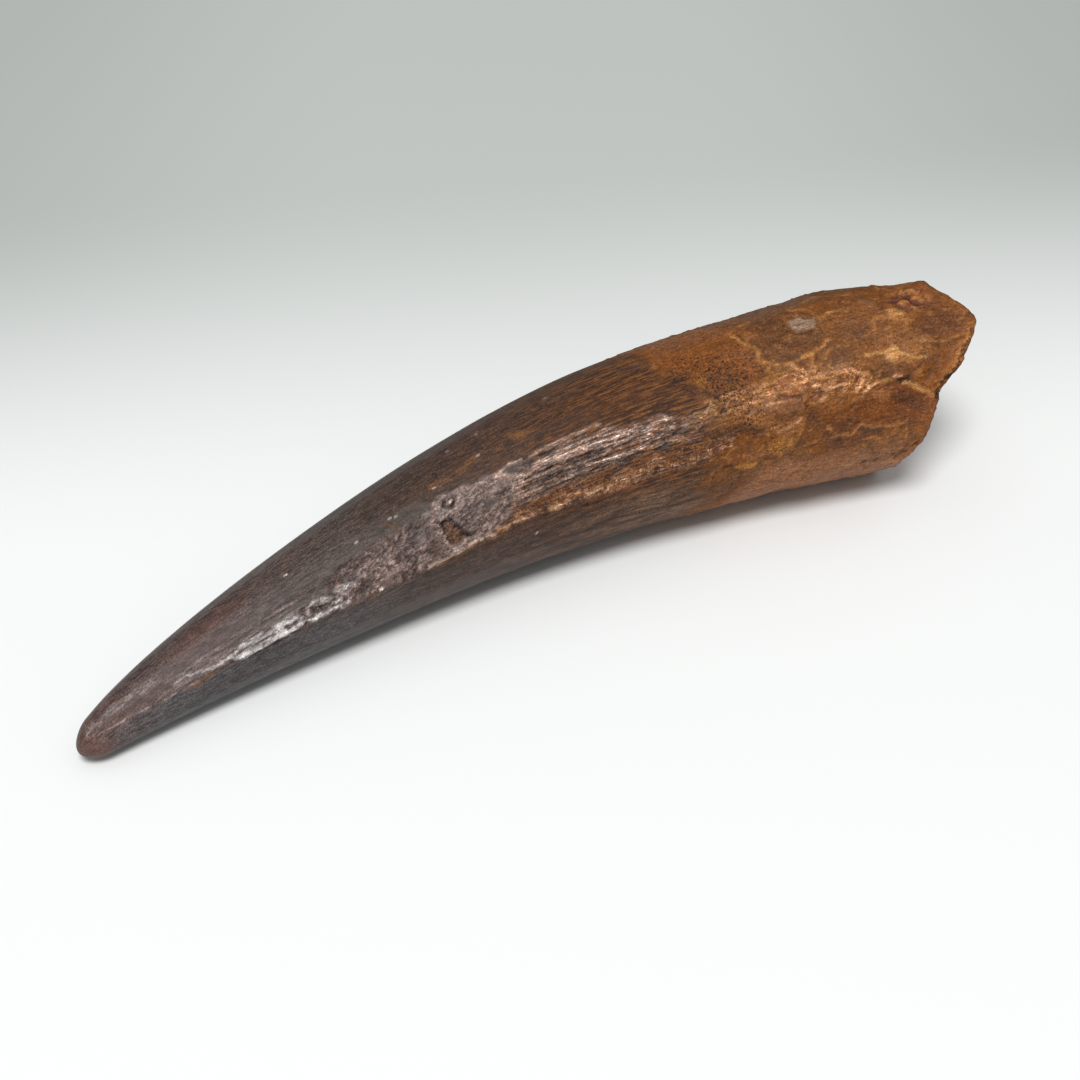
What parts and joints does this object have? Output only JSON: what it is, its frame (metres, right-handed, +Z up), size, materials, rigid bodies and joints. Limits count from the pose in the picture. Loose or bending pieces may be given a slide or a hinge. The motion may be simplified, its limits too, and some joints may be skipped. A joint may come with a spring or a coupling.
{
  "type": "fossil spinosaurus tooth",
  "caption": "Fossil dinosaur tooth lying on its side: long curved conical crown with a flaked, fluted face, on a thick ochre root that ends in a rough slanting break.",
  "frame": {"origin": "centre of the bounding box's footprint, on the surface that the tooth lies on", "axes": "+X along the tooth from tip to broken root, +Y towards the convex side of its curve, +Z up from the surface"},
  "size_m": [0.1508, 0.0356, 0.0314],
  "materials": {
    "fossil_tooth": "dark brown enamel, slightly glossy, over a rough ochre root"
  },
  "bodies": {
    "root": {"tooth": "fossil_tooth"}
  },
  "joints": []
}
